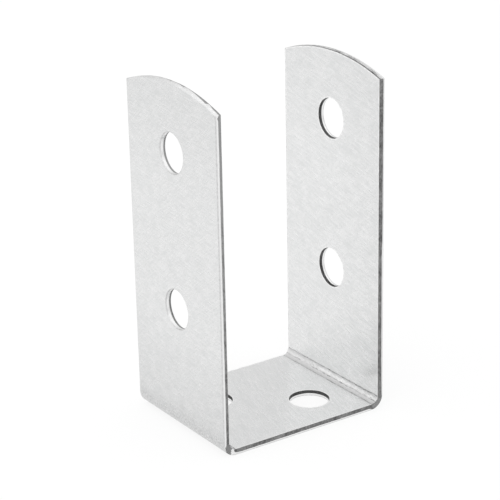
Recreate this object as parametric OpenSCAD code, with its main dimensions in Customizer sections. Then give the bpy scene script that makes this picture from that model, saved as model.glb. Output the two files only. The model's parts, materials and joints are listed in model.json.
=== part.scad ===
// U bracket for timber: one strip of zinc-coated sheet steel, blanked and
// pierced from its outer face, then folded up into two legs.
//
// Millimetres. The origin is the middle of the base's underside. +X runs across
// the two legs, +Y along the strip's width and +Z up the legs.

/* [Overall size] */
// Width over the outer faces of the two legs
bracket_w = 50; // [40:0.5:120]
// Width of the strip that the bracket is folded from
strip_w = 40; // [30:0.5:90]
// Height from the underside to the crown of each leg
bracket_h = 92.5; // [70:0.5:200]

/* [Sheet and bends] */
// Thickness of the sheet
sheet_t = 1.6; // [1.2:0.1:3]
// Radius of the inner face of each bend
bend_r = 2; // [1.5:0.25:5]
// How far the squeezed inner side of a bend swells past the strip's edge
bend_swell = 0.18; // [0.05:0.01:0.3]
// How far the stretched outer side of a bend draws in from the strip's edge
bend_draw = 0.1; // [0.05:0.01:0.2]

/* [Leg crowns] */
// Radius of the arc that ends each leg
crown_r = 60; // [48:1:300]

/* [Leg holes] */
// Diameter of the two bolt holes in each leg
leg_hole_d = 10.5; // [6:0.25:16]
// Height of the lower hole's centre above the underside
lower_hole_rise = 33.5; // [20:0.5:40]
// Drop from the crown to the upper hole's centre
upper_hole_drop = 18; // [12:0.5:25]

/* [Base holes] */
// Diameter of the two bolt holes in the base
base_hole_d = 10.5; // [6:0.25:12]
// Distance between the base holes' centres across the legs
base_hole_pitch_x = 21; // [14:0.5:22]
// Distance between the base holes' centres along the strip's width
base_hole_pitch_y = 14.5; // [10:0.5:16]

/* [Sheared edges] */
// Radius of the soft lip where the shear enters the outer face
lip_r = 0.15; // [0.05:0.05:0.3]
// Depth of the smooth cut below the lip
smooth_cut = 0.5; // [0.3:0.05:0.8]
// How far the torn part of the cut leans back by the time it meets the inner face
tear_lean = 0.08; // [0.02:0.02:0.2]

/* [Hidden] */
$fn = 96;

zinc = [0.86, 0.87, 0.88];
// How far a cutter runs past the faces that it cuts
past = 1;
bend_outer_r = bend_r + sheet_t;
// Half the length of the base between its two bends
base_flat = bracket_w / 2 - bend_outer_r;
upper_hole_rise = bracket_h - upper_hole_drop;
// Fall of the crown's arc from the middle of a leg to its sides
crown_fall = crown_r - sqrt(pow(crown_r, 2) - pow(strip_w / 2, 2));
// How far beyond a bend's face the crest of a shaping ball stands
ball_stand_off = sheet_t / 2;

// A bend's edge is shaped by balls whose surface crosses the strip's edge halfway
// through the sheet and stands off from it by a given change at the bend's face.
// These are the ball's radius, and how far its crest is from the strip's edge.
function ball_r(change) = (pow(sheet_t, 2) - pow(ball_stand_off, 2)) / (2 * change);
function ball_crest(change) = pow(sheet_t, 2) / (2 * ball_r(change));

// Section of what a shear takes away. The sheet is kept at x < 0, with its outer
// face on y = 0 and its inner face on y = sheet_t. The cut has a soft lip at the
// outer face, then a smooth stretch, then a torn stretch that leans back.
module shear_section(reach) {
    difference() {
        polygon([
            [-lip_r, -past],
            [reach, -past],
            [reach, sheet_t + past],
            [-tear_lean, sheet_t + past],
            [-tear_lean, sheet_t],
            [0, lip_r + smooth_cut],
            [0, lip_r],
            [-lip_r, lip_r]
        ]);
        translate([-lip_r, lip_r])
            circle(r = lip_r);
    }
}

// Section across the strip, stood up: depth along x with the inner face on x = 0
// and the outer face on x = sheet_t, width along y.
module strip_section() {
    difference() {
        translate([0, -strip_w / 2 - past])
            square([sheet_t, strip_w + 2 * past]);
        for (side = [0, 1])
            mirror([0, side])
                translate([sheet_t, strip_w / 2])
                    rotate(90)
                        shear_section(2 * past);
    }
}

// Cutter for a hole pierced through a sheet that lies with its outer face on
// z = 0 and its inner face above.
module hole_cutter(d) {
    rotate_extrude()
        translate([d / 2, 0])
            mirror([1, 0])
                shear_section(d / 2);
}

// Cutter for the arc that ends a leg, on a sheet that lies the same way with the
// leg's length along x and the arc's centre on the origin.
module crown_cutter() {
    half_angle = asin(strip_w / 2 / crown_r) + 5;
    rotate([0, 0, -half_angle])
        rotate_extrude(angle = 2 * half_angle, $fn = 360)
            translate([crown_r, 0])
                shear_section(crown_fall + 3 * past);
}

// Stands what is drawn on a lying sheet up as the right leg: x becomes height.
module on_right_leg() {
    translate([bracket_w / 2, 0, 0])
        rotate([0, -90, 0])
            children();
}

module base_flat_part() {
    difference() {
        translate([-base_flat, 0, sheet_t])
            rotate([0, 90, 0])
                linear_extrude(height = 2 * base_flat)
                    strip_section();
        for (corner = [-1, 1])
            translate([-corner * base_hole_pitch_x / 2, corner * base_hole_pitch_y / 2, 0])
                hole_cutter(base_hole_d);
    }
}

module right_leg_part() {
    difference() {
        translate([bracket_w / 2 - sheet_t, 0, bend_outer_r])
            linear_extrude(height = bracket_h + past - bend_outer_r)
                strip_section();
        on_right_leg()
            translate([bracket_h - crown_r, 0, 0])
                crown_cutter();
        for (rise = [lower_hole_rise, upper_hole_rise])
            on_right_leg()
                translate([rise, 0, 0])
                    hole_cutter(leg_hole_d);
    }
}

// Spins a section through the quarter turn of the right bend, whose axis lies
// along the strip's width: x in the section is the distance from that axis.
module quarter_turn() {
    rotate([90, 0, 0])
        rotate([0, 0, -90])
            rotate_extrude(angle = 90)
                translate([bend_r, 0])
                    children();
}

// A ball at each end of the bend, on its bisector, at a distance from the bend's
// axis and from the middle of the strip.
module end_balls(from_axis, from_middle, r) {
    for (edge = [-1, 1])
        rotate([0, 45, 0])
            translate([from_axis, edge * from_middle, 0])
                sphere(r = r);
}

// The fold between base and right leg. The squeezed inner side swells past the
// strip's two edges, and the stretched outer side draws in.
module right_bend_part() {
    swell_r = ball_r(bend_swell);
    draw_r = ball_r(bend_draw);
    swell_middle = strip_w / 2 + ball_crest(bend_swell) - swell_r;
    draw_middle = strip_w / 2 - ball_crest(bend_draw) + draw_r;
    translate([base_flat, 0, bend_outer_r]) {
        difference() {
            quarter_turn()
                strip_section();
            end_balls(bend_outer_r + ball_stand_off, draw_middle, draw_r);
        }
        intersection() {
            end_balls(bend_r - ball_stand_off, swell_middle, swell_r);
            quarter_turn()
                translate([0, -strip_w / 2 - past])
                    square([sheet_t, strip_w + 2 * past]);
        }
    }
}

module bracket() {
    color(zinc) {
        base_flat_part();
        for (side = [0, 1])
            mirror([side, 0, 0]) {
                right_bend_part();
                right_leg_part();
            }
    }
}

bracket();
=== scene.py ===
"""Looks of the U bracket: a strip of zinc-coated sheet steel, blanked, pierced and folded.

The strip is modelled flat and in millimetres, in the order in which the real one is made:
outline and holes, sheared edges through the thickness, then the two folds. It is scaled to
metres at the end and stands for the CAD node of the same part.
"""

import json
import logging
import math
from dataclasses import dataclass
from enum import IntEnum
from typing import Any, Callable

import bmesh
import bpy
from mathutils import Matrix, Vector, noise

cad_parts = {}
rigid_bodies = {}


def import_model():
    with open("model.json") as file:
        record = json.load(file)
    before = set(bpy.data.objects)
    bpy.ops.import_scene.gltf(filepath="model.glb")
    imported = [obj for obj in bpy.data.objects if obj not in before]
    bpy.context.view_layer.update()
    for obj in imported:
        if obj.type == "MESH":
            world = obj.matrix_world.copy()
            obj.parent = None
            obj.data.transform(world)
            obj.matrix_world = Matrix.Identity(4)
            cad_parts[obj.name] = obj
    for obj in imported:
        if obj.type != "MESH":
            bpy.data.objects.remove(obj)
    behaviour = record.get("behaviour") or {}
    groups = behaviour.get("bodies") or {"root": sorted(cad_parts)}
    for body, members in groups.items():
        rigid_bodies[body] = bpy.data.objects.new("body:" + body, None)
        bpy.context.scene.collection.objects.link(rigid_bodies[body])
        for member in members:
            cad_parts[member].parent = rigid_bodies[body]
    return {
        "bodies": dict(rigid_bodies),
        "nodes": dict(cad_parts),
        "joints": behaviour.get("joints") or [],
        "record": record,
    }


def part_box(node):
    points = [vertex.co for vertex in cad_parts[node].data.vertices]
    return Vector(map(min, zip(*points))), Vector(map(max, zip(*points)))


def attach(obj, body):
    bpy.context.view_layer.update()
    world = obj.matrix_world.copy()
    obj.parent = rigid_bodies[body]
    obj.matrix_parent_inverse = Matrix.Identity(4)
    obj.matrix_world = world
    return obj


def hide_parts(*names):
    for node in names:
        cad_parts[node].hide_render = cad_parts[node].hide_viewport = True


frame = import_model()

log = logging.getLogger("u_bracket")

MM = 0.001
NODE = "bracket"
SHEET = "sheet"  # attribute with each point's place on the flat strip, in millimetres
NEAR = 1e-4  # millimetres within which two places count as one
FLAT = 0.999  # upright share of a normal above which its face lies flat
WALL = 0.7  # upright share of a normal below which its face is part of a wall
TONE_SPAN = (0.3, 0.7)  # values of a pattern at which a tone is wholly dark and wholly light
BLACK = "000000"
WHITE = "ffffff"

Span = tuple[float, float]
Triple = tuple[float, float, float]
Profile = tuple[Span, ...]
Source = bpy.types.NodeSocket | bpy.types.Node  # of a node, its first output
Test = Callable[[Vector], bool]
PairTest = Callable[[Vector, Vector], bool]


def between(profile: Profile, place: float) -> float:
    """Reads a profile at a place, straight between its points.

    Args:
        profile: places in rising order, each with its value.
        place: where to read it.

    Returns:
        The value there; beyond the ends, the end's value.
    """
    for (start, low), (end, high) in zip(profile, profile[1:]):
        if place <= end:
            share = min(1.0, max(0.0, (place - start) / (end - start)))
            return low + (high - low) * share
    return profile[-1][1]


class Zone(IntEnum):
    """The kinds of surface on the bracket, which are also its material slots."""

    FACE = 0
    # Grey with painted shade.
    LIP = 1
    SMOOTH_CUT = 2
    TORN_CUT = 3
    # Torn cut darkened with painted shade.
    TORN_HOLE = 4
    TORN_CROWN = 5
    # Bright with a painted highlight.
    RIM = 6
    FOLD = 7
    FOLD_END = 8


def linear(colour: str) -> tuple[float, float, float, float]:
    """Turns an sRGB hex colour into the linear one that a shader takes.

    Args:
        colour: six hex digits, such as "c8ccd0".

    Returns:
        Linear red, green, blue and an alpha of 1.
    """
    parts = [int(colour[i:i + 2], 16) / 255 for i in (0, 2, 4)]
    r, g, b = (p / 12.92 if p <= 0.04045 else ((p + 0.055) / 1.055) ** 2.4 for p in parts)
    return r, g, b, 1.0


class Nodes:
    """The nodes of a material or a world, built up from none."""

    def __init__(self, owner: bpy.types.Material | bpy.types.World) -> None:
        """Empties the owner's nodes.

        Args:
            owner: the material or the world.
        """
        owner.use_nodes = True
        self.owner = owner
        owner.node_tree.nodes.clear()

    def add(self, kind: str, settings: dict[str | int, Any] | None = None,
            links: dict[str | int, Source] | None = None) -> bpy.types.Node:
        """Adds one node with its settings and its incoming links.

        Args:
            kind: the node's type, such as "ShaderNodeTexNoise".
            settings: values by name; an input's name or number sets that input.
            links: what feeds each input, by the input's name or number.

        Returns:
            The new node.
        """
        node = self.owner.node_tree.nodes.new(kind)
        for name, value in (settings or {}).items():
            if isinstance(name, int) or name in node.inputs:
                node.inputs[name].default_value = value
            else:
                setattr(node, name, value)
        for name, source in (links or {}).items():
            socket = source.outputs[0] if isinstance(source, bpy.types.Node) else source
            self.owner.node_tree.links.new(socket, node.inputs[name])
        return node


# ---------------------------------------------------------------- finishes


@dataclass(frozen=True)
class Streak:
    """Noise drawn out along one direction of the strip.

    Attributes:
        angle: direction from the strip's length, in degrees.
        width: size of a streak across itself, in millimetres.
        length: size of a streak along itself, in millimetres.
    """

    angle: float
    width: float
    length: float


@dataclass(frozen=True)
class Change:
    """How one value changes while another goes from a first place to a second.

    Attributes:
        start: place where it starts to change.
        whole: place where it has changed.
        first: the value up to the start.
        last: the value from where it has changed.
        soft: whether it starts and ends softly.
    """

    start: float
    whole: float
    first: float = 0.0
    last: float = 1.0
    soft: bool = False

    @property
    def settings(self) -> dict[str | int, Any]:
        """The change as a map range node takes it."""
        return {"interpolation_type": "SMOOTHSTEP" if self.soft else "LINEAR",
                1: self.start, 2: self.whole, 3: self.first, 4: self.last}


class SheetNodes(Nodes):
    """The nodes of one of the sheet's finishes, with the patterns that it draws on."""

    def __init__(self, name: str) -> None:
        """Makes the named material, with each point's place on the flat strip in millimetres."""
        super().__init__(bpy.data.materials.new(name))
        self.place = self.add("ShaderNodeAttribute", {"attribute_name": SHEET}).outputs["Vector"]

    def axes(self) -> list[Source]:
        """Returns the same place along the strip, across it and deep into the sheet."""
        return list(self.add("ShaderNodeSeparateXYZ", {}, {0: self.place}).outputs)

    def streaks(self, streak: Streak) -> Source:
        """Adds drawn-out noise.

        Args:
            streak: direction and size of the streaks.

        Returns:
            A value near 0.5 that wanders either way.
        """
        turned = self.add("ShaderNodeVectorRotate",
                          {"rotation_type": "Z_AXIS", "Angle": -math.radians(streak.angle)},
                          {"Vector": self.place})
        finely = 1 / streak.width
        drawn = self.add("ShaderNodeVectorMath",
                         {"operation": "MULTIPLY", 1: (1 / streak.length, finely, finely)},
                         {0: turned})
        return self.add("ShaderNodeTexNoise", {"Scale": 1.0, "Detail": 2.0, "Roughness": 0.6},
                        {"Vector": drawn})

    def grains(self, size: float, detail: float = 1.0) -> Source:
        """Adds even noise.

        Args:
            size: size of one grain, in millimetres.
            detail: octaves of finer noise on top.

        Returns:
            A value near 0.5 that wanders either way.
        """
        return self.add("ShaderNodeTexNoise",
                        {"Scale": 1 / size, "Detail": detail, "Roughness": 0.55},
                        {"Vector": self.place})

    def weigh(self, patterns: list[Source], weights: tuple[float, ...]) -> Source:
        """Adds patterns up, each one's swing about 0.5 times its weight.

        Args:
            patterns: values near 0.5.
            weights: each pattern's weight.

        Returns:
            A value near 0.5 that wanders either way.
        """
        settings: dict[str | int, Any] = {"operation": "MULTIPLY_ADD", 2: 0.5 - sum(weights) / 2}
        total = self.add("ShaderNodeMath", {**settings, 1: weights[0]}, {0: patterns[0]})
        for pattern, weight in zip(patterns[1:], weights[1:]):
            total = self.add("ShaderNodeMath", {"operation": "MULTIPLY_ADD", 1: weight},
                             {0: pattern, 2: total})
        return total


@dataclass(frozen=True, kw_only=True)
class Finish:
    """A metal finish of the sheet.

    Attributes:
        name: the material's name.
        roughness: middle roughness of the metal.
        relief: height of the surface's fine grain, in millimetres.
    """

    name: str
    roughness: float
    relief: float = 0.004

    def build(self) -> bpy.types.Material:
        """Returns the finished material; each kind of finish has its own way."""
        raise NotImplementedError

    def metal(self, nodes: SheetNodes, height: Source,
              links: dict[str | int, Source]) -> bpy.types.Material:
        """Ends the nodes in a metal shader.

        Args:
            nodes: the material's nodes.
            height: pattern of the surface's fine relief.
            links: what feeds the shader's colour, and its roughness where that wanders.

        Returns:
            The finished material.
        """
        bump = nodes.add("ShaderNodeBump", {"Distance": self.relief * MM, "Strength": 1.0},
                         {"Height": height})
        shader = nodes.add("ShaderNodeBsdfPrincipled",
                           {"Metallic": 1.0, "Roughness": self.roughness},
                           {**links, "Normal": bump})
        nodes.add("ShaderNodeOutputMaterial", {}, {"Surface": shader})
        return nodes.owner


@dataclass(frozen=True, kw_only=True)
class TonedFinish(Finish):
    """A finish whose colour, roughness and relief all follow one pattern.

    Attributes:
        dark: sRGB hex of the darkest tone.
        light: sRGB hex of the lightest tone.
        spread: how far the roughness wanders either way.
        grain: size of the finish's grain, in millimetres.
        detail: octaves of finer grain on top.
    """

    dark: str
    light: str
    spread: float
    grain: float
    detail: float = 1.0

    def build(self) -> bpy.types.Material:
        """Returns the finished material, with plain grain for its pattern."""
        nodes = SheetNodes(self.name)
        return self.shade(nodes, nodes.grains(self.grain, self.detail))

    def shade(self, nodes: SheetNodes, tone: Source,
              dull: Source | None = None) -> bpy.types.Material:
        """Finishes the material by its pattern.

        Args:
            nodes: the material's nodes.
            tone: value that runs between the dark and the light colour.
            dull: painted shade, the share of light that the colour loses, if it differs from place
                to place.

        Returns:
            The finished material.
        """
        colour = nodes.add("ShaderNodeValToRGB", {}, {"Fac": tone})
        for stop, value, shown in zip(colour.color_ramp.elements, TONE_SPAN,
                                      (self.dark, self.light)):
            stop.position = value
            stop.color = linear(shown)
        # Painted shade: the colour is darkened towards black by that share.
        if dull is not None:
            colour = nodes.add("ShaderNodeMix", {"data_type": "RGBA", 7: linear(BLACK)},
                               {0: dull, 6: colour}).outputs[2]
        rough = Change(*TONE_SPAN, self.roughness + self.spread, self.roughness - self.spread)
        return self.metal(nodes, tone, {
            "Base Color": colour,
            "Roughness": nodes.add("ShaderNodeMapRange", rough.settings, {0: tone})})


@dataclass(frozen=True, kw_only=True)
class GalvanisedFace(TonedFinish):
    """Hot-dip zinc, skin-passed: an even pale satin grey with fine grain and faint roll marks.

    The roll marks are short scratches. Inside they lie about 14 degrees off the strip's width;
    outside they cross. Real grain and marks are finer; they are drawn about 0.4 mm wide so
    that they show.

    Attributes:
        mottle: size of the soft patches, in millimetres.
        weights: how strongly marks, grain and mottle show.
        middle: depth that parts the outer face from the inner one.
        inner_angles: directions of the marks on the inner face, in degrees from the length.
        inner_weights: how strongly each set of them shows.
        outer_angles: the same directions on the outer face.
        outer_weights: how strongly each set shows there.
        mark: width and length of a mark, in millimetres.
        dash: the same of the dark dashes along the first set.
        dashed: which values of their pattern make a dash.
        dash_weight: how strongly they show; dark ones have it below 0.
        foot_shade: painted shade, the share of light that the outer face loses, more towards the
            folds.
        heel_shade: more painted shade, the share that it loses grain by grain right beside the
            folds.
        heel_shade_grain: size of those grains, in millimetres.
        heel_shade_spots: which values of their pattern make a grain.
        end: painted shade, the share that both faces lose by the crowns.
        light_spot: place of a lighter spot near the right crown.
        light_spot_size: half the spot's length, width and depth.
        light_spot_gain: share that the spot wins back, by the distance in those sizes.
    """

    grain: float = 0.35
    mottle: float = 3.5
    weights: Triple = (0.85, 0.3, 0.25)
    middle: float = 0.8
    inner_angles: Span = (76.0, 128.0)
    inner_weights: Span = (0.85, 0.4)
    outer_angles: Span = (53.0, 97.0)
    outer_weights: Span = (0.7, 1.0)
    mark: Span = (0.34, 4.0)
    dash: Span = (0.25, 1.2)
    dashed: Change = Change(0.56, 0.7, 0.5, 1.0)
    dash_weight: float = -0.6
    # Painted shade on the outer face towards the folds, and on both faces by the crowns.
    foot_shade: Change = Change(52.0, 22.0, 0.035, 0.165)
    heel_shade: Change = Change(30.5, 23.5, 0.0, 0.22, soft=True)
    heel_shade_grain: float = 0.5
    heel_shade_spots: Change = Change(0.4, 0.65)
    end: Change = Change(85.0, 114.0, 0.0, 0.05, soft=True)
    light_spot: Triple = (109.4, 0.2, 1.6)
    light_spot_size: Triple = (0.9, 2.4, 1.0)
    light_spot_gain: Change = Change(1.1, 0.4, 0.0, 0.045, soft=True)

    def build(self) -> bpy.types.Material:
        """Builds the material.

        Returns:
            The finished material.
        """
        nodes = SheetNodes(self.name)
        along, _, deep = nodes.axes()
        outside = nodes.add("ShaderNodeMath", {"operation": "LESS_THAN", 1: self.middle}, {0: deep})
        marks = nodes.add("ShaderNodeMix", {"data_type": "FLOAT"}, {
            0: outside, 2: self._marks(nodes, self.inner_angles, self.inner_weights),
            3: self._marks(nodes, self.outer_angles, self.outer_weights)})
        tone = nodes.weigh([marks, nodes.grains(self.grain), nodes.grains(self.mottle)],
                           self.weights)
        # The faces take painted shade towards the crowns, and outside towards the folds.
        return self.shade(nodes, tone, self._painted_shade(nodes, along, outside))

    def _marks(self, nodes: SheetNodes, angles: Span, weights: Span) -> Source:
        """Adds two sets of roll marks, the first with dark dashes.

        Args:
            nodes: the material's nodes.
            angles: the sets' directions, in degrees from the strip's length.
            weights: how strongly each set shows.

        Returns:
            A value near 0.5 that wanders either way.
        """
        sets = [nodes.streaks(Streak(angle, *self.mark)) for angle in angles]
        dashes = nodes.add("ShaderNodeMapRange", self.dashed.settings,
                           {0: nodes.streaks(Streak(angles[0], *self.dash))})
        return nodes.weigh([*sets, dashes], (*weights, self.dash_weight))

    def _painted_shade(self, nodes: SheetNodes, along: Source, outside: Source) -> Source:
        """Adds painted shade: the share of light lost near the crowns, and outside by the folds.

        Args:
            nodes: the material's nodes.
            along: place along the strip.
            outside: 1 on the outer face and 0 on the inner one.

        Returns:
            The share.
        """
        away = nodes.add("ShaderNodeMath", {"operation": "ABSOLUTE"}, {0: along})
        # Painted shade: darker by the crowns, and on the outer face towards the folds, grain by
        # grain beside them.
        end, foot_shade, heel_shade = (nodes.add("ShaderNodeMapRange", change.settings, {0: away})
                           for change in (self.end, self.foot_shade, self.heel_shade))
        heel_shade_mask = nodes.add("ShaderNodeMapRange", self.heel_shade_spots.settings,
                           {0: nodes.grains(self.heel_shade_grain)})
        lost = nodes.add("ShaderNodeMath", {"operation": "MULTIPLY_ADD"},
                         {0: heel_shade, 1: heel_shade_mask, 2: foot_shade})
        both = nodes.add("ShaderNodeMath", {"operation": "MULTIPLY_ADD"},
                         {0: lost, 1: outside, 2: end})
        return nodes.add("ShaderNodeMath", {"operation": "SUBTRACT", "use_clamp": True},
                         {0: both, 1: self._light_spot(nodes)})

    def _light_spot(self, nodes: SheetNodes) -> Source:
        """Adds a lighter spot.

        Args:
            nodes: the material's nodes.

        Returns:
            The share of light that the spot wins back, which is 0 beyond its edge.
        """
        offset = nodes.add("ShaderNodeVectorMath", {"operation": "SUBTRACT", 1: self.light_spot},
                           {0: nodes.place})
        scaled = nodes.add("ShaderNodeVectorMath", {"operation": "DIVIDE", 1: self.light_spot_size},
                           {0: offset})
        reach = nodes.add("ShaderNodeVectorMath", {"operation": "LENGTH"}, {0: scaled})
        return nodes.add("ShaderNodeMapRange", self.light_spot_gain.settings, {0: reach.outputs["Value"]})


@dataclass(frozen=True, kw_only=True)
class BurnishedCut(TonedFinish):
    """Steel ironed by the die's wall: nearly mirror bright, with a faint fine grain."""

    relief: float = 0.002
    grain: float = 0.25


@dataclass(frozen=True, kw_only=True)
class TornCut(TonedFinish):
    """Steel that broke away below the cut: dull, dark and coarse, with lighter ridges.

    The grain is its ridges. It is lighter up the left leg, towards the crown.

    Attributes:
        finer: size of the finer ridges, as a share of the others'.
        patch: size of the lighter patches, in millimetres.
        paling: how far it has grown lighter, by the place along the strip.
        weights: how strongly ridges, finer ridges, patches and that lightening show.
    """

    relief: float = 0.05
    grain: float = 0.5
    detail: float = 3.0
    finer: float = 1 / 3
    patch: float = 2.5
    paling: Change = Change(-26.0, -95.0, 0.5, 1.0)
    weights: tuple[float, ...] = (0.6, 0.4, 0.5, 0.5)

    def build(self) -> bpy.types.Material:
        """Builds the material.

        Returns:
            The finished material.
        """
        nodes = SheetNodes(self.name)
        paling = nodes.add("ShaderNodeMapRange", self.paling.settings, {0: nodes.axes()[0]})
        return self.shade(nodes, nodes.weigh([
            nodes.grains(self.grain, self.detail), nodes.grains(self.grain * self.finer, 2.0),
            nodes.grains(self.patch, 2.0), paling], self.weights))


@dataclass(frozen=True, kw_only=True)
class PaintedEdgeBand(TonedFinish):
    """A band along the edges whose tone paints light and shade: painted shade on the lip, a painted
    highlight round the inner face.
    """

    grain: float = 0.8
    detail: float = 2.0


@dataclass(frozen=True, kw_only=True)
class StrainedEnd(TonedFinish):
    """Cut edge at a fold's end, upset and roughened right through: an even mid grey."""

    relief: float = 0.03
    grain: float = 0.35
    detail: float = 3.0


@dataclass(frozen=True, kw_only=True)
class FoldedZinc(Finish):
    """Zinc on the fold: streaks along it, and bands across it that paint the bend's light and
    shade.

    Across the fold, from the base to the leg, lie a dark line of painted shade by the base, a dull
    band, a broken dark line, a bright band of painted highlight and a last dark line of painted
    shade by the leg. Streaks along the fold make them ragged.

    Attributes:
        start: where a fold starts along the flat strip, in millimetres.
        run: length of a fold along the flat strip, in millimetres.
        bands: place across the fold and sRGB hex of each tone.
        ragged: how far the bands wander, as a share of the fold.
        streak: the streaks along which they wander.
        sway: size of their longer waves, in millimetres.
        faded_tone: sRGB hex of what the bands fade to.
        faded: share by which the bands fade, by the place across the strip.
        fade_patch: size of the patches in which it fades, in millimetres.
        fade_streak: the streaks in which it fades.
        fade_weights: how strongly place, patches and streaks count in that.
        flake: the streaks in which the zinc has flaked.
        flaked: how far they show what is under the zinc, by the value of their pattern.
        flake_tone: sRGB hex of that.
    """

    relief: float = 0.03
    start: float = 21.4
    run: float = 4.4
    bands: tuple[tuple[float, str], ...]
    ragged: float = 0.3
    streak: Streak = Streak(90.0, 0.25, 1.8)
    sway: float = 2.5
    faded_tone: str = "d0d0d0"
    faded: Change = Change(-14.0, 16.0, 0.2, 0.6)
    fade_patch: float = 4.0
    fade_streak: Streak = Streak(80.0, 0.45, 1.5)
    fade_weights: Triple = (1.0, 1.2, 1.4)
    flake: Streak = Streak(82.0, 0.2, 0.9)
    flaked: Change = Change(0.6, 0.72, 0.0, 0.6)
    flake_tone: str = "505050"

    def build(self) -> bpy.types.Material:
        """Builds the material.

        Returns:
            The finished material.
        """
        nodes = SheetNodes(self.name)
        along, across, _ = nodes.axes()
        streaks = nodes.streaks(self.streak)
        pressed = nodes.add("ShaderNodeMapRange", self.faded.settings, {0: across})
        faint = nodes.weigh([pressed, nodes.grains(self.fade_patch, 2.0),
                             nodes.streaks(self.fade_streak)], self.fade_weights)
        flakes = nodes.add("ShaderNodeMapRange", self.flaked.settings,
                           {0: nodes.streaks(self.flake)})
        colour = self._bands_with_painted_light(nodes, along, streaks)
        for tone, share in ((self.faded_tone, faint), (self.flake_tone, flakes)):
            colour = nodes.add("ShaderNodeMix", {"data_type": "RGBA", 7: linear(tone)},
                               {0: share, 6: colour}).outputs[2]
        return self.metal(nodes, streaks, {"Base Color": colour})

    def _bands_with_painted_light(self, nodes: SheetNodes, along: Source, streaks: Source) -> Source:
        """Adds the bands across the fold, with their painted shade and highlight.

        Args:
            nodes: the material's nodes.
            along: place along the strip.
            streaks: pattern along which the bands wander.

        Returns:
            Their colour.
        """
        away = nodes.add("ShaderNodeMath", {"operation": "ABSOLUTE"}, {0: along})
        run = Change(self.start, self.start + self.run)
        share = nodes.add("ShaderNodeMapRange", {**run.settings, "clamp": False}, {0: away})
        shifted = nodes.weigh([share, streaks, nodes.grains(self.sway, 2.0)],
                              (1.0, self.ragged, self.ragged / 2))
        # The darkest stops, by the base and by the leg, are painted shade; the white stop is a
        # painted highlight.
        ramp = nodes.add("ShaderNodeValToRGB", {}, {"Fac": shifted})
        stops = ramp.color_ramp.elements
        while len(stops) < len(self.bands):
            stops.new(0.5)
        for stop, (position, colour) in zip(stops, self.bands):
            stop.position = position
            stop.color = linear(colour)
        return ramp


FINISHES: dict[Zone, Finish] = {
    Zone.FACE: GalvanisedFace(
        name="galvanised_face", dark="e1e2e2", light="f1f1f1", roughness=0.28, spread=0.03),
    # The grey line beside every cut, where the outer face rounds into it: painted shade of that
    # roll-over.
    Zone.LIP: PaintedEdgeBand(
        name="drawn_in_lip", dark="cccccc", light="e0e0e0", roughness=0.35, spread=0.05),
    Zone.SMOOTH_CUT: BurnishedCut(
        name="burnished_cut", dark="e8e8e8", light="f6f6f6", roughness=0.3, spread=0.05),
    # The same tear is painted darker, as painted shade, in the base's and the right leg's holes,
    # which the light hardly reaches, and on the folds' creased burrs; it is pale on the right
    # crown.
    Zone.TORN_CUT: TornCut(
        name="torn_cut", dark="545454", light="a0a0a0", roughness=0.6, spread=0.1),
    Zone.TORN_HOLE: TornCut(
        name="torn_hole", dark="3c3c3c", light="6c6c6c", roughness=0.6, spread=0.1),
    Zone.TORN_CROWN: TornCut(
        name="torn_crown", dark="949494", light="f0f0f0", roughness=0.5, spread=0.1),
    # A bright ring round the inner face's edges and holes, and the crowns' smooth cut: painted
    # highlight.
    Zone.RIM: PaintedEdgeBand(
        name="rubbed_rim", dark="e4e4e4", light="fbfbfb", roughness=0.3, spread=0.05),
    # Bands across the fold: 404040 and 181818 paint shade at its two ends and ffffff paints its
    # highlight; the rest is the zinc's streaked tone.
    Zone.FOLD: FoldedZinc(name="folded_zinc", roughness=0.45, bands=(
        (0.0, "d4d4d4"), (0.05, "404040"), (0.08, "d0d0d0"), (0.41, "d4d4d4"), (0.45, "606060"),
        (0.49, "e2e2e2"), (0.66, "ffffff"), (0.82, "eeeeee"), (0.91, "dcdcdc"), (0.935, "181818"),
        (0.945, "181818"), (0.97, "d4d4d4"))),
    Zone.FOLD_END: StrainedEnd(
        name="strained_end", dark="868686", light="a4a4a4", roughness=0.6, spread=0.08),
}


# ---------------------------------------------------------------- modelling bench


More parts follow.
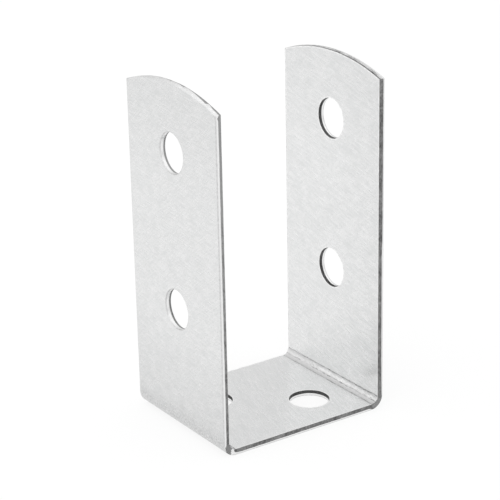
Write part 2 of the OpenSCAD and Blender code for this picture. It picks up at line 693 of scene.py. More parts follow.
class Bench:
    """One object in edit mode, whose parts are picked by place."""

    def __init__(self, name: str) -> None:
        """Makes the object, a plane 1 mm across, and opens it.

        Args:
            name: the object's name.
        """
        bpy.ops.object.select_all(action="DESELECT")
        bpy.ops.mesh.primitive_plane_add(size=1, location=(0, 0, 0))
        self.obj = bpy.context.active_object
        self.obj.name = self.obj.data.name = name
        self.open()

    def open(self) -> None:
        """Enters edit mode."""
        bpy.ops.object.mode_set(mode="EDIT")

    def close(self) -> None:
        """Goes back to object mode."""
        bpy.ops.object.mode_set(mode="OBJECT")

    def _pick(self, mode: str, wanted: Callable[[Any], bool]) -> None:
        """Selects elements of one kind.

        Args:
            mode: the kind, "VERT", "EDGE" or "FACE".
            wanted: takes an element and tells whether it is to be selected.
        """
        bpy.ops.mesh.select_mode(type=mode)
        bpy.ops.mesh.select_all(action="DESELECT")
        mesh = bmesh.from_edit_mesh(self.obj.data)
        for element in {"VERT": mesh.verts, "EDGE": mesh.edges, "FACE": mesh.faces}[mode]:
            element.select = wanted(element)
        mesh.select_flush_mode()
        bmesh.update_edit_mesh(self.obj.data, loop_triangles=False, destructive=False)

    def pick_points(self, test: Test) -> None:
        """Selects the points whose place passes a test."""
        self._pick("VERT", lambda point: test(point.co))

    def pick_flat(self, test: Test) -> None:
        """Selects the points whose place on the flat strip passes a test."""
        layer = bmesh.from_edit_mesh(self.obj.data).verts.layers.float_vector[SHEET]
        self._pick("VERT", lambda point: test(point[layer]))

    def pick_edges(self, test: PairTest) -> None:
        """Selects the edges whose two ends pass a test."""
        self._pick("EDGE", lambda edge: test(*(end.co for end in edge.verts)))

    def pick_faces(self, test: PairTest) -> None:
        """Selects the faces whose middle and normal pass a test."""
        self._pick("FACE", lambda face: test(face.calc_center_median(), face.normal))

    def press(self, name: str, strength: float, direction: str,
              weight: Callable[[Vector], float], scale: float | None = None) -> None:
        """Displaces points along an axis, each by its own share.

        Args:
            name: what the displacement is, for its group and texture.
            strength: displacement of a point with the full share, in millimetres.
            direction: the axis, "X", "Y" or "Z".
            weight: gives a point's share by its place; more than 1 counts as 1.
            scale: size of the clouds that the displacement follows both ways; none for even.
        """
        self.close()
        group = self.obj.vertex_groups.new(name=name)
        for point in self.obj.data.vertices:
            share = weight(point.co)
            if share > 0:
                group.add([point.index], share, "REPLACE")
        modifier = self.obj.modifiers.new(name, "DISPLACE")
        modifier.vertex_group = group.name
        modifier.direction = direction
        modifier.strength = strength
        modifier.mid_level = 0.0
        if scale:
            clouds = bpy.data.textures.new(name, "CLOUDS")
            clouds.noise_scale = scale
            modifier.texture = clouds
            modifier.mid_level = 0.5
        bpy.ops.object.modifier_apply(modifier=name)
        self.obj.vertex_groups.clear()
        self.open()

    def note_places(self) -> None:
        """Keeps each point's place on the flat strip, for the folds and the materials."""
        mesh = bmesh.from_edit_mesh(self.obj.data)
        layer = mesh.verts.layers.float_vector.new(SHEET)
        for point in mesh.verts:
            point[layer] = point.co
        bmesh.update_edit_mesh(self.obj.data)

    def dress(self, zone: Zone) -> None:
        """Puts the selected faces in a zone's material slot."""
        self.obj.active_material_index = int(zone)
        bpy.ops.object.material_slot_assign()


# ---------------------------------------------------------------- the strip


@dataclass(frozen=True)
class Sizes:
    """Sizes of the bracket in millimetres.

    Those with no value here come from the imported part; the rest are as in its source, but for
    the swell, which is a little less so that the strip stays inside the part's box.

    Attributes:
        width: over the outer faces of the legs.
        height: from the underside to the crowns.
        sheet: thickness of the sheet.
        base_holes: centre along and across the flat strip, and radius, of each base hole.
        leg_holes: height and radius of each pair of holes in the legs.
        strip: width of the strip.
        bend: radius of the inner face of each fold.
        crown: radius of the arc that ends each leg.
        lip: radius of the soft lip where the shear enters the outer face.
        lean: how far the torn cut leans back by the inner face.
        swell: how far the inner side of a fold stands past the strip's edge.
        draw: how far its outer side draws in.
    """

    width: float
    height: float
    sheet: float
    base_holes: tuple[Triple, ...]
    leg_holes: tuple[Span, ...]
    strip: float = 40.0
    bend: float = 2.0
    crown: float = 60.0
    lip: float = 0.15
    lean: float = 0.08
    swell: float = 0.16
    draw: float = 0.1

    @property
    def edge(self) -> float:
        """Place across the strip of its edges."""
        return self.strip / 2

    @property
    def outer_bend(self) -> float:
        """Radius of the outer face of each fold."""
        return self.bend + self.sheet

    @property
    def base_end(self) -> float:
        """Place along the flat strip where the base ends and a fold starts."""
        return self.width / 2 - self.outer_bend

    @property
    def fold_run(self) -> float:
        """Length of a fold along the flat strip, at the middle of the sheet."""
        return math.pi / 2 * (self.bend + self.sheet / 2)

    @property
    def leg_start(self) -> float:
        """Place along the flat strip where a fold ends and a leg starts."""
        return self.base_end + self.fold_run

    @property
    def crown_fall(self) -> float:
        """Fall of a crown's arc from its middle to the strip's sides."""
        return self.crown - math.sqrt(self.crown ** 2 - self.edge ** 2)

    @property
    def crown_centre(self) -> float:
        """Place along the flat strip of the centre of a crown's arc."""
        return self.along(self.height) - self.crown

    @property
    def corner(self) -> float:
        """Place along the flat strip where a leg's sides end and its crown starts."""
        return self.along(self.height - self.crown_fall)

    @property
    def holes(self) -> list[Triple]:
        """Each hole's centre along and across the flat strip, and its radius."""
        legs = [(side * self.along(rise), 0.0, r) for rise, r in self.leg_holes for side in (1, -1)]
        return list(self.base_holes) + legs

    def along(self, rise: float) -> float:
        """Returns the place along the flat strip of a height on a leg."""
        return self.leg_start + rise - self.outer_bend

    def hole_at(self, place: Vector, reach: float) -> Triple | None:
        """Looks for a hole.

        Args:
            place: a place on the flat strip.
            reach: how far from the hole's edge it may lie.

        Returns:
            The hole whose edge is within reach, if there is one.
        """
        for x, y, r in self.holes:
            if math.hypot(place.x - x, place.y - y) < r + reach:
                return x, y, r
        return None

    def short_of_crown(self, place: Vector) -> float:
        """Returns how far short of its crown's arc a place lies."""
        return self.crown - math.hypot(max(0.0, abs(place.x) - self.crown_centre), place.y)

    def beyond_crown(self, place: Vector, reach: float) -> bool:
        """Tells whether a place is within reach of a crown's arc."""
        return abs(place.x) > self.corner - reach and self.short_of_crown(place) < reach

    @classmethod
    def from_frame(cls, packed: dict[str, Any]) -> "Sizes":
        """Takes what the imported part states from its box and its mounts.


        Returns:
            The sizes.
        """
        low, high = (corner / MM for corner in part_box(NODE))
        mounts = {mount["name"]: mount for mount in packed["record"]["mounts"]}
        place = {name: Vector(mount["pos_m"]) / MM for name, mount in mounts.items()}
        base = tuple((place[n].x, place[n].y, mounts[n]["dims"]["r_mm"])
                     for n in ("front_right_base_bore", "back_left_base_bore"))
        leg = tuple((place[n].z, mounts[n]["dims"]["r_mm"])
                    for n in ("lower_leg_bore", "upper_leg_bore"))
        return cls(width=high.x - low.x, height=high.z - low.z, sheet=place["timber_seat"].z,
                   base_holes=base, leg_holes=leg)


@dataclass
class Blank:
    """The flat strip's outer face: outline with two crowns, and six pierced holes.

    Attributes:
        sizes: the bracket's sizes.
        bench: holds the strip.
        step: spacing of points along the edges, in millimetres.
        stations: steps in which each fold turns.
        fold_cells: cells across the strip in each fold.
        hole_points: points round each hole.
    """

    sizes: Sizes
    bench: Bench
    step: float = 0.5
    stations: int = 16
    fold_cells: int = 50
    hole_points: int = 66

    def lay(self) -> None:
        """Lays the strip out from the bench's plane."""
        s = self.sizes
        bpy.ops.mesh.select_all(action="SELECT")
        bpy.ops.transform.resize(value=(2 * s.corner, s.strip, 1))
        for line in (-s.leg_start, -s.base_end, s.base_end, s.leg_start):
            bpy.ops.mesh.select_all(action="SELECT")
            bpy.ops.mesh.bisect(plane_co=(line, 0, 0), plane_no=(1, 0, 0), threshold=NEAR)
        self.bench.pick_faces(lambda middle, _: not self._in_fold(middle))
        bpy.ops.mesh.delete(type="ONLY_FACE")
        self._grid_folds()
        self._divide_flats()
        self._spin_crowns()
        for x, y, r in s.holes:
            bpy.ops.mesh.primitive_circle_add(vertices=self.hole_points, radius=r,
                                              fill_type="NOTHING", location=(x, y, 0))
        self._fill()

    def _in_fold(self, place: Vector) -> bool:
        """Tells whether a place lies in a fold or on its end lines."""
        return self.sizes.base_end - NEAR < abs(place.x) < self.sizes.leg_start + NEAR

    def _grid_folds(self) -> None:
        """Divides the two folds into a grid, with a line at each station."""
        self.bench.pick_edges(lambda a, b: (
            self._in_fold(a) and self._in_fold(b) and a.x * b.x > 0 and abs(a.x - b.x) > NEAR))
        bpy.ops.mesh.subdivide(number_cuts=self.stations - 1)
        self.bench.pick_edges(lambda a, b: self._in_fold(a) and abs(a.x - b.x) < NEAR)
        bpy.ops.mesh.subdivide(number_cuts=self.fold_cells - 1)

    def _divide_flats(self) -> None:
        """Divides the straight edges of base and legs."""
        s = self.sizes
        for low, high in ((-s.base_end, s.base_end), (s.leg_start, s.corner),
                          (-s.corner, -s.leg_start)):
            self.bench.pick_edges(lambda a, b: (
                abs(a.x - b.x) > (high - low) / 2 and low - NEAR < (a.x + b.x) / 2 < high + NEAR))
            bpy.ops.mesh.subdivide(number_cuts=round((high - low) / self.step) - 1)

    def _spin_crowns(self) -> None:
        """Replaces each straight end by an arc, spun from one corner to the other."""
        s = self.sizes
        turn = 2 * math.asin(s.edge / s.crown)
        for side in (1, -1):
            end = side * s.corner
            self.bench.pick_edges(lambda a, b: abs(a.x - end) < NEAR and abs(b.x - end) < NEAR)
            bpy.ops.mesh.delete(type="EDGE")
            self.bench.pick_points(lambda p: abs(p.x - end) < NEAR and p.y * side < 0)
            bpy.ops.mesh.spin(steps=round(turn * s.crown / self.step), angle=turn,
                              center=(side * s.crown_centre, 0, 0), axis=(0, 0, -1))
        bpy.ops.mesh.select_all(action="SELECT")
        bpy.ops.mesh.remove_doubles(threshold=NEAR)

    def _fill(self) -> None:
        """Fills base and legs between their outlines and holes."""
        s = self.sizes
        past = s.height * 2
        for low, high in ((-s.base_end, s.base_end), (s.leg_start, past), (-past, -s.leg_start)):
            self.bench.pick_edges(lambda a, b: all(low - NEAR < p.x < high + NEAR for p in (a, b)))
            bpy.ops.mesh.fill(use_beauty=True)


@dataclass
class Tear:
    """Where the smooth cut gives way to the torn one, as a depth below the outer face.

    The depth differs from edge to edge. On the left crown the tear ran in steps, each one
    widening towards the front. At the folds' front ends it takes nearly the whole thickness.

    Attributes:
        sizes: the bracket's sizes.
        front: depth along the front edge, by place along the flat strip.
        left_crown: depth along the left crown, by place across the strip.
        right_crown: depth along the right crown.
        back: depth along the back edge.
        left_holes: depth in the left leg's holes.
        right_holes: depth in the right leg's holes.
        base_holes: depth in the base's holes.
        ragged: how far the line wanders either way.
        waves: size, seed and weight of each wave in which it wanders.
        least: the least depth.
        left_over: what is left of the sheet at the greatest.
        hole_reach: how far from a hole's edge a place still belongs to it.
        crown_reach: how far short of a crown's arc a place still belongs to it.
    """

    sizes: Sizes
    front: Profile = (
        (-110.6, 0.2), (-110.3, 0.8), (-26.0, 0.8), (-24.0, 0.2), (-22.65, 0.2), (-22.3, 1.5),
        (-22.1, 1.0), (-21.3, 0.64), (-19.0, 0.54), (19.0, 0.56), (20.6, 0.56), (21.3, 0.42),
        (21.5, 0.2), (25.7, 0.2), (25.9, 0.36), (36.0, 0.46), (66.0, 0.58), (69.0, 0.4),
        (120.0, 0.37))
    left_crown: Profile = (
        (-20.0, 1.0), (-17.4, 1.0), (-15.3, 1.5), (-15.1, 0.7), (-5.3, 1.5), (-5.1, 0.95),
        (0.6, 1.5), (0.8, 1.1), (6.0, 1.52), (20.0, 1.52))
    right_crown: float = 0.45
    back: float = 0.65
    left_holes: float = 1.02
    right_holes: float = 0.74
    base_holes: float = 0.72
    ragged: float = 0.06
    waves: tuple[Triple, ...] = ((3.0, 7.3, 1.0), (1.0, 2.1, 0.5))
    least: float = 0.19
    left_over: float = 0.08
    hole_reach: float = 0.6
    crown_reach: float = 0.15

    def depth(self, place: Vector) -> float:
        """Gives the depth of the tear.

        Args:
            place: a place on the cut edge, as on the flat strip.

        Returns:
            How far below the outer face the tear starts there.
        """
        s = self.sizes
        hole = s.hole_at(place, self.hole_reach)
        if hole and abs(hole[0]) < s.base_end:
            level = self.base_holes
        elif hole:
            level = self.left_holes if hole[0] < 0 else self.right_holes
        elif s.beyond_crown(place, self.crown_reach):
            level = self.right_crown if place.x > 0 else between(self.left_crown, place.y)
        else:
            level = between(self.front, place.x) if place.y < 0 else self.back
        wander = sum(weight * noise.noise(Vector((place.x / size, place.y / size, seed)))
                     for size, seed, weight in self.waves)
        return min(s.sheet - self.left_over, max(self.least, level + self.ragged * wander))


@dataclass
class Askew:
    """How the left crown was cut askew, lowest at its front corner.

    There the smooth cut leans as well, so that it catches the light from above.

    Attributes:
        sizes: the bracket's sizes.
        drop: how far a point drops at most, in millimetres.
        reach: how far below the arc points still drop.
        slant: share of the drop that the whole thickness takes at the front corner.
        gather: power by which the drop gathers there.
        lean: share of the drop that the outer face takes on top.
        lean_depth: depth below the outer face at which that is over.
        lean_onset: how soon it is whole towards the front.
    """

    sizes: Sizes
    drop: float = 0.6
    reach: float = 4.0
    slant: float = 0.95
    gather: float = 1.8
    lean: float = 0.35
    lean_depth: float = 0.9
    lean_onset: float = 2.5

    def share(self, place: Vector) -> float:
        """Gives a point's share of the drop.

        Args:
            place: the point, on the flat strip.

        Returns:
            The share, which is 0 away from the left crown.
        """
        s = self.sizes
        if place.x > 0:
            return 0.0
        near = max(0.0, 1 - s.short_of_crown(place) / self.reach)
        front = max(0.0, 0.5 - place.y / s.strip)
        outer = max(0.0, 1 - place.z / self.lean_depth)
        leaning = self.lean * outer * min(1.0, self.lean_onset * front)
        return near * (self.slant * front ** self.gather + leaning)


@dataclass
class ShearedEdge:
    """The section that shearing leaves on every edge and hole, raised from the flat blank.

    Attributes:
        sizes: the bracket's sizes.
        bench: holds the blank, and then the strip.
        lip_row: depth at which the row above the lip is first laid.
        tear_row: depth at which the tear's first row is first laid.
        torn_rows: rows of faces on the torn cut.
        pale_rows: how many of them are pale on the right crown, from the outer face.
        lip_rows: rows of faces round the lip.
        lip_reach: how deep the lip, grey with painted shade, goes at most.
        lip_share: the same, as a share of the tear's depth.
        burr: height of the burr on the inner face's edges.
        burr_slopes: widths over which it rises and falls again.
        highlight_ring: width of the ring round the inner face that takes a painted highlight.
        lip_shade_ring: width of the ring round the outer face that takes the lip's painted shade.
        edge_reach: how far from the outline a place still belongs to its cut.
        hole_reach: the same at a hole.
        sway: how far the edges wander either way.
        sway_size: size of the waves in which they do.
        sway_reach: how far from the outline points sway.
        sway_clear: how far from a hole they keep still.
        grain: height of the grain on the long edges' torn cut.
        grain_size: size of that grain.
    """

    sizes: Sizes
    bench: Bench
    lip_row: float = 0.17
    tear_row: float = 0.2
    torn_rows: int = 5
    pale_rows: int = 3
    lip_rows: int = 3
    lip_reach: float = 0.27
    lip_share: float = 0.55
    burr: float = 0.04
    burr_slopes: Span = (0.03, 0.05)
    highlight_ring: float = 0.3
    lip_shade_ring: float = 0.07
    edge_reach: float = 0.3
    hole_reach: float = 0.6
    sway: float = 0.07
    sway_size: float = 5.0
    sway_reach: float = 0.6
    sway_clear: float = 1.0
    grain: float = 0.07
    grain_size: float = 0.6

    @property
    def torn_row(self) -> float:
        """Thickness of one row of faces on the torn cut."""
        return (self.sizes.sheet - self.tear_row) / self.torn_rows

    def raise_up(self) -> None:
        """Gives the blank its thickness, edge section, zones and wear."""
        s = self.sizes
        bpy.ops.mesh.select_mode(type="FACE")
        bpy.ops.mesh.select_all(action="SELECT")
        bpy.ops.mesh.extrude_region_move(TRANSFORM_OT_translate={"value": (0, 0, self.lip_row)})
        bpy.ops.mesh.select_all(action="SELECT")
        bpy.ops.mesh.normals_make_consistent(inside=False)
        self._pick_inner()
        bpy.ops.mesh.extrude_region_move(
            TRANSFORM_OT_translate={"value": (0, 0, self.tear_row - self.lip_row)})
        torn = [(s.lean / self.torn_rows, self.torn_row)] * self.torn_rows
        rise, fall = self.burr_slopes
        for width, depth in (*torn, (rise, self.burr), (fall, -self.burr), (self.highlight_ring, 0.0)):
            self._pick_inner()
            bpy.ops.mesh.inset(thickness=width, depth=depth)
        self.bench.pick_edges(lambda a, b: a.z < NEAR and b.z < NEAR)
        self._keep_border()
        bpy.ops.mesh.bevel(offset=s.lip, segments=self.lip_rows, profile=0.5, affect="EDGES",
                           clamp_overlap=False)
        self.bench.pick_faces(lambda middle, normal: normal.z < -FLAT)
        bpy.ops.mesh.inset(thickness=self.lip_shade_ring, depth=0)
        self._zones()
        self._wear()

    def _wear(self) -> None:
        """Gives the even section its tear, waves, grain and askew crown."""
        s = self.sizes
        tear = Tear(s)
        askew = Askew(s)
        self.bench.press("tear", s.sheet, "Z", lambda p: self._lift(tear, p) / s.sheet)
        for axis in ("X", "Y"):
            self.bench.press(f"sway_{axis.lower()}", 2 * self.sway, axis, self._swaying,
                             self.sway_size)
        self.bench.press("tear_grain", self.grain, "Y", self._grainy, self.grain_size)
        self.bench.press("askew", askew.drop, "X", askew.share)

    def _lift(self, tear: Tear, place: Vector) -> float:
        """Gives the way that a point of the section has to rise from where its row was laid.

        Args:
            tear: gives the tear's depth.
            place: the point.

        Returns:
            The rise in millimetres.
        """
        s = self.sizes
        if place.z > s.sheet - NEAR or place.z < self.lip_row - NEAR:
            return 0.0
        depth = tear.depth(place)
        if place.z < self.lip_row + NEAR:
            return max(0.0, min(self.lip_reach, self.lip_share * depth) - place.z)
        share = (s.sheet - place.z) / (s.sheet - self.tear_row)
        return max(0.0, (depth - self.tear_row) * share)

    def _swaying(self, place: Vector) -> float:
        """Gives the share of the sway that a point takes.

        Args:
            place: the point.

        Returns:
            1 by the inner face's outline, less below it and 0 at holes.
        """
        s = self.sizes
        if place.z < self.tear_row or s.hole_at(place, self.sway_clear):
            return 0.0
        near = (abs(place.y) > s.edge - self.sway_reach
                or s.beyond_crown(place, self.sway_reach))
        return min(1.0, place.z / s.sheet) if near else 0.0

    def _grainy(self, place: Vector) -> float:
        """Gives the share of the tear's grain that a point takes.

        Args:
            place: the point.

        Returns:
            1 on the torn cut of the long edges, else 0.
        """
        s = self.sizes
        return float(self.tear_row + NEAR < place.z < s.sheet - NEAR
                     and abs(place.y) > s.edge - self.edge_reach)

    def _pick_inner(self) -> None:
        """Selects the inner face, the only one that looks straight up."""
        self.bench.pick_faces(lambda middle, normal: normal.z > FLAT)

    def _keep_border(self) -> None:
        """Keeps, of the selected edges, those between the outer face and a wall."""
        mesh = bmesh.from_edit_mesh(self.bench.obj.data)
        for edge in mesh.edges:
            if edge.select and sum(abs(f.normal.z) > FLAT for f in edge.link_faces) != 1:
                edge.select = False
        mesh.select_flush_mode()
        bmesh.update_edit_mesh(self.bench.obj.data)

    def _zones(self) -> None:
        """Puts each row of the section in its zone."""
        s = self.sizes
        tear, inner = self.tear_row, s.sheet

        def by_crown(place: Vector) -> bool:
            """Tells whether a place belongs to a crown's cut."""
            return s.beyond_crown(place, self.edge_reach)

        for zone, low, high, test in (
                # The lip's rows, away from the crowns, take its painted shade.
                (Zone.LIP, 0.0, self.lip_row, lambda p: not by_crown(p)),
                (Zone.SMOOTH_CUT, self.lip_row, tear, lambda p: True),
                # The smooth cut by the crowns takes a painted highlight.
                (Zone.RIM, self.lip_row, tear, by_crown),
                (Zone.TORN_CUT, tear, inner, lambda p: True),
                # Holes in the base and the right leg take the torn cut's painted shade.
                (Zone.TORN_HOLE, tear, inner, lambda p: (
                    p.x > -s.base_end and s.hole_at(p, self.hole_reach) is not None)),
                (Zone.TORN_CROWN, tear, tear + self.pale_rows * self.torn_row,
                 lambda p: p.x > s.corner)):
            self.bench.pick_faces(lambda middle, normal: (
                abs(normal.z) < WALL and low < middle.z < high and test(middle)))
            self.bench.dress(zone)
        # The ring round the inner face takes a painted highlight.
        self.bench.pick_faces(lambda middle, _: middle.z > inner - NEAR and self._ringed(middle))
        self.bench.dress(Zone.RIM)
        # The ring round the outer face, away from the crowns, takes the lip's painted shade.
        self.bench.pick_faces(lambda middle, _: (
            middle.z < s.lip and self._ringed(middle) and not by_crown(middle)))
        self.bench.dress(Zone.LIP)

    def _ringed(self, place: Vector) -> bool:
        """Tells whether a place is in the rings round the faces.

        Args:
            place: a place on the flat strip.

        Returns:
            Whether it lies within their width of an edge or a hole.
        """
        s = self.sizes
        reach = self.highlight_ring + s.lean + sum(self.burr_slopes)
        return (abs(place.y) > s.edge - reach or s.beyond_crown(place, reach)
                or s.hole_at(place, reach) is not None)


@dataclass(frozen=True)
class Strain:
    """Where the cut at a fold's ends shows how it was strained.

    Places are shares of the fold's run, from the base to the leg, and depths are shares of
    the sheet, from the outer face to the inner one.

    Attributes:
        first: place where the even grey starts at the outer face.
        slant: how much further on it starts at the inner face.
        front_last: place where it ends at the strip's front.
        creased: places between which the front's burr is creased and painted dark, as shade in the
            crease.
        back_last: place where the grey ends at the strip's back.
        spared: depth below which there is grey, by place.
        bright: place from which the front's cut is bright up to the grey; 1 for nowhere.
        bright_depth: depth below which it is.
    """

    first: float
    slant: float
    front_last: float
    creased: Span
    back_last: float = 0.98
    spared: Profile = ((0.0, 0.0), (1.0, 0.0))
    bright: float = 1.0
    bright_depth: float = 0.1


STRAINS: dict[int, Strain] = {
    -1: Strain(first=0.28, slant=0.19, front_last=0.98, creased=(0.45, 1.0),
               spared=((0.6, 0.0), (1.0, 0.4)), bright=0.21),
    1: Strain(first=0.13, slant=-0.1, front_last=0.8, creased=(0.05, 0.6)),
}


@dataclass
class Fold:
    """One right-angled fold, turned station by station about its axis.

    Attributes:
        sizes: the bracket's sizes.
        bench: holds the strip.
        side: 1 for the right leg, -1 for the left.
        stations: steps in which the fold turns.
        margin: how far past the fold's ends its zone reaches.
        cut_width: how far in from the strip's edge the faces of the cut lie.
        burr_width: how far in the faces of the burr lie.
        swell_from: depth below the outer face from which the fold's ends swell.
        draw_to: depth down to which they draw in.
        grip: distances from the edge and from the fold's middle within which points are held.
        spread: how far round them the others follow.
    """

    sizes: Sizes
    bench: Bench
    side: int
    stations: int
    margin: float = 0.1
    cut_width: float = 0.12
    burr_width: float = 0.16
    swell_from: float = 0.9
    draw_to: float = 0.3
    grip: Span = (0.3, 0.6)
    spread: float = 1.7

    def turn(self) -> None:
        """Swings all that lies beyond the fold's start up into the leg."""
        s = self.sizes
        step = s.fold_run / self.stations
        angle = math.pi / 2 / self.stations
        for station in range(self.stations):
            start = s.base_end + station * step
            self.bench.pick_flat(lambda p: self.side * p.x > start + step / 2)
            lean = station * angle
            bpy.ops.transform.translate(
                value=(-self.side * step * math.cos(lean), 0, -step * math.sin(lean)))
            bpy.ops.transform.rotate(value=self.side * angle, orient_axis="Y",
                                     center_override=(self.side * s.base_end, 0, s.outer_bend))

    def dress(self) -> None:
        """Puts the fold's faces in their zones while the strip is flat."""
        # The creased burrs take the torn cut's painted shade.
        for zone, test in ((Zone.FOLD, self._squeezed), (Zone.SMOOTH_CUT, self._bright),
                           (Zone.TORN_HOLE, self._creased), (Zone.FOLD_END, self._strained)):
            self.bench.pick_faces(test)
            self.bench.dress(zone)

    def upset(self) -> None:
        """Bulges the fold's two ends, swollen at the inner face and drawn in at the outer."""
        s = self.sizes
        across = self.side * (s.base_end + s.fold_run / 2)
        edge_grip, middle_grip = self.grip
        for end in (-1, 1):
            for low, high, shift in ((self.swell_from, math.inf, s.swell),
                                     (-math.inf, self.draw_to, -s.draw)):
                self.bench.pick_points(lambda p: (
                    low < p.z < high and p.y * end > s.edge - edge_grip
                    and abs(p.x - across) < middle_grip))
                bpy.ops.transform.translate(
                    value=(0, end * shift, 0), use_proportional_edit=True,
                    proportional_edit_falloff="SMOOTH", proportional_size=self.spread)

    def _share(self, place: Vector) -> Span:
        """Returns a place's share of the fold's run and its depth's share of the sheet."""
        s = self.sizes
        return (self.side * place.x - s.base_end) / s.fold_run, place.z / s.sheet

    def _squeezed(self, middle: Vector, normal: Vector) -> bool:
        """Tells whether a face is part of the fold's inner face.

        Args:
            middle: the face's middle.
            normal: its normal.

        Returns:
            Whether the punch has squeezed it.
        """
        s = self.sizes
        return (middle.z > s.sheet - NEAR and normal.z > FLAT
                and s.base_end - self.margin < self.side * middle.x < s.leg_start + self.margin)

    def _strained(self, middle: Vector, _: Vector) -> bool:
        """Tells whether a face of the cut lies in the strained part of the fold.

        Args:
            middle: the face's middle.

        Returns:
            Whether it is to be an even grey.
        """
        strain = STRAINS[self.side]
        share, depth = self._share(middle)
        last = strain.back_last if middle.y > 0 else strain.front_last
        return (strain.first + strain.slant * depth < share < last
                and abs(middle.y) > self.sizes.edge - self.cut_width
                and between(strain.spared, share) < depth < 1)

    def _bright(self, middle: Vector, _: Vector) -> bool:
        """Tells whether a face of the front's cut lies between the base's tear and the grey.

        Args:
            middle: the face's middle.

        Returns:
            Whether it is to be smooth and bright.
        """
        strain = STRAINS[self.side]
        share, depth = self._share(middle)
        return (strain.bright < share < strain.first + strain.slant * depth
                and middle.y < self.cut_width - self.sizes.edge
                and strain.bright_depth < depth < 1)

    def _creased(self, middle: Vector, _: Vector) -> bool:
        """Tells whether a face lies on the burr of the fold's front end.

        Args:
            middle: the face's middle.

        Returns:
            Whether it takes the torn cut's painted shade.
        """
        s = self.sizes
        low, high = STRAINS[self.side].creased
        return (low < self._share(middle)[0] < high and middle.z > s.sheet - NEAR
                and middle.y < self.burr_width - s.edge)


@dataclass
class FoldedStrip:
    """The whole bracket: blank, edges and folds, dressed and fixed to the frame.

    Attributes:
        sizes: the bracket's sizes.
        crease: angle between faces from which their edge stays sharp, in degrees.
    """

    sizes: Sizes
    crease: float = 35.0

    def build(self) -> bpy.types.Object:
        """Models the strip.

        Returns:
            Its object, in metres.
        """
        bench = Bench("folded_sheet")
        blank = Blank(self.sizes, bench)
        blank.lay()
        for finish in FINISHES.values():
            bench.obj.data.materials.append(finish.build())
        ShearedEdge(self.sizes, bench).raise_up()
        bench.note_places()
        for side in (1, -1):
            fold = Fold(self.sizes, bench, side, blank.stations)
            fold.dress()
            fold.upset()
            fold.turn()
        bpy.ops.mesh.select_all(action="SELECT")
        bpy.ops.transform.resize(value=(MM, MM, MM), center_override=(0, 0, 0))
        bench.close()
        bpy.ops.object.shade_smooth_by_angle(angle=math.radians(self.crease))
        return bench.obj


# ---------------------------------------------------------------- studio


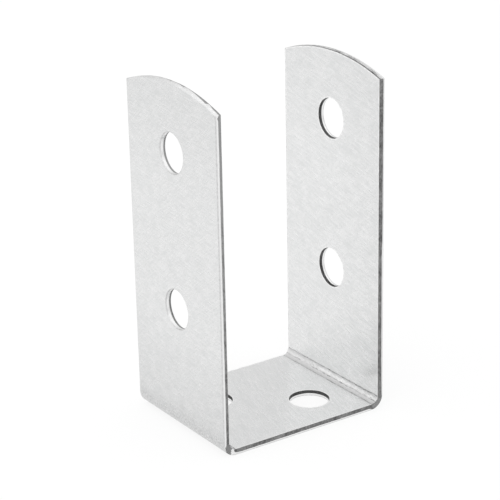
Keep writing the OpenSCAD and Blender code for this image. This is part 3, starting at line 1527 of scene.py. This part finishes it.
@dataclass
class Studio:
    """Pale sweep and soft light.

    Attributes:
        reach: half the floor's width, in metres.
        floor: sRGB hex of the matt floor.
        glow: white that the floor adds where it is seen or mirrored.
        sky: strength of the white surroundings where the slope adds nothing.
        slope: how much it grows to the right, behind and above; below 0 it falls.
    """

    reach: float = 3.0
    floor: str = "6c6c6c"
    glow: float = 0.84
    sky: float = 0.833
    slope: Triple = (-0.27, -0.11, 0.5)

    def build(self) -> None:
        """Makes floor and surroundings."""
        self._lay_floor()
        self._light()
        bpy.context.scene.view_settings.view_transform = "Standard"

    def _lay_floor(self) -> None:
        """Lays a matt floor that keeps the shadow and shows white beyond it."""
        bpy.ops.object.select_all(action="DESELECT")
        bpy.ops.mesh.primitive_plane_add(size=2 * self.reach, location=(0, 0, 0))
        floor = bpy.context.active_object
        floor.name = "floor"
        nodes = Nodes(bpy.data.materials.new("matt_white_floor"))
        ray = nodes.add("ShaderNodeLightPath").outputs
        seen = ray["Is Camera Ray"]
        for other in ("Is Glossy Ray", "Is Transmission Ray"):
            seen = nodes.add("ShaderNodeMath", {"operation": "MAXIMUM"}, {0: seen, 1: ray[other]})
        lit = nodes.add("ShaderNodeMath", {"operation": "MULTIPLY", 1: self.glow}, {0: seen})
        glow = nodes.add("ShaderNodeEmission", {}, {"Strength": lit})
        matt = nodes.add("ShaderNodeBsdfDiffuse", {"Color": linear(self.floor)})
        both = nodes.add("ShaderNodeAddShader", {}, {0: matt, 1: glow})
        nodes.add("ShaderNodeOutputMaterial", {}, {"Surface": both})
        floor.data.materials.append(nodes.owner)

    def _light(self) -> None:
        """Surrounds the scene with soft white, brighter above, to the left and in front."""
        nodes = Nodes(bpy.data.worlds.new("white_studio"))
        way = nodes.add("ShaderNodeTexCoord").outputs["Generated"]
        slope = nodes.add("ShaderNodeVectorMath", {"operation": "DOT_PRODUCT", 1: self.slope},
                          {0: way}).outputs["Value"]
        level = nodes.add("ShaderNodeMath", {"operation": "ADD", 1: self.sky}, {0: slope})
        light = nodes.add("ShaderNodeBackground", {"Color": linear(WHITE)}, {"Strength": level})
        nodes.add("ShaderNodeOutputWorld", {}, {"Surface": light})
        bpy.context.scene.world = nodes.owner


@dataclass(frozen=True)
class Viewpoint:
    """The camera's stand, in degrees and millimetres.

    Attributes:
        azimuth: 0 looks along +Y; negative stands to the left.
        elevation: above the horizon.
        roll: turn about the line of sight.
        distance: from the aim.
        aim: the point in the middle of the picture.
        lens: focal length.
        sensor: width of the sensor.
        nearest: distance from which things are seen.
    """

    azimuth: float = -34.115
    elevation: float = 20.579
    roll: float = -1.169
    distance: float = 463.8
    aim: Triple = (-2.196, 0.42, 44.1)
    lens: float = 130.858
    sensor: float = 36.0
    nearest: float = 10.0

    def stand(self) -> None:
        """Puts the camera in its place and makes it the scene's."""
        a, e, r = (math.radians(v) for v in (self.azimuth, self.elevation, self.roll))
        back = Vector((math.sin(a) * math.cos(e), -math.cos(a) * math.cos(e), math.sin(e)))
        level = Vector((0, 0, 1)).cross(back).normalized()
        up = back.cross(level)
        right = math.cos(r) * level + math.sin(r) * up
        above = -math.sin(r) * level + math.cos(r) * up
        data = bpy.data.cameras.new("camera")
        data.lens = self.lens
        data.sensor_width = self.sensor
        data.clip_start = self.nearest * MM
        camera = bpy.data.objects.new("camera", data)
        bpy.context.scene.collection.objects.link(camera)
        place = Matrix.Translation((Vector(self.aim) + back * self.distance) * MM)
        camera.matrix_world = place @ Matrix((right, above, back)).transposed().to_4x4()
        bpy.context.scene.camera = camera


def main() -> None:
    """Builds the bracket, the studio and the camera."""
    logging.basicConfig(level=logging.INFO, format="%(name)s: %(message)s")
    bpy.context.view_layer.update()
    sizes = Sizes.from_frame(frame)
    strip = FoldedStrip(sizes).build()
    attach(strip, "root")
    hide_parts(NODE)
    log.info("%s: %d points, %d faces", strip.name, len(strip.data.vertices),
             len(strip.data.polygons))
    Studio().build()
    Viewpoint().stand()


if __name__ == "__main__":
    main()
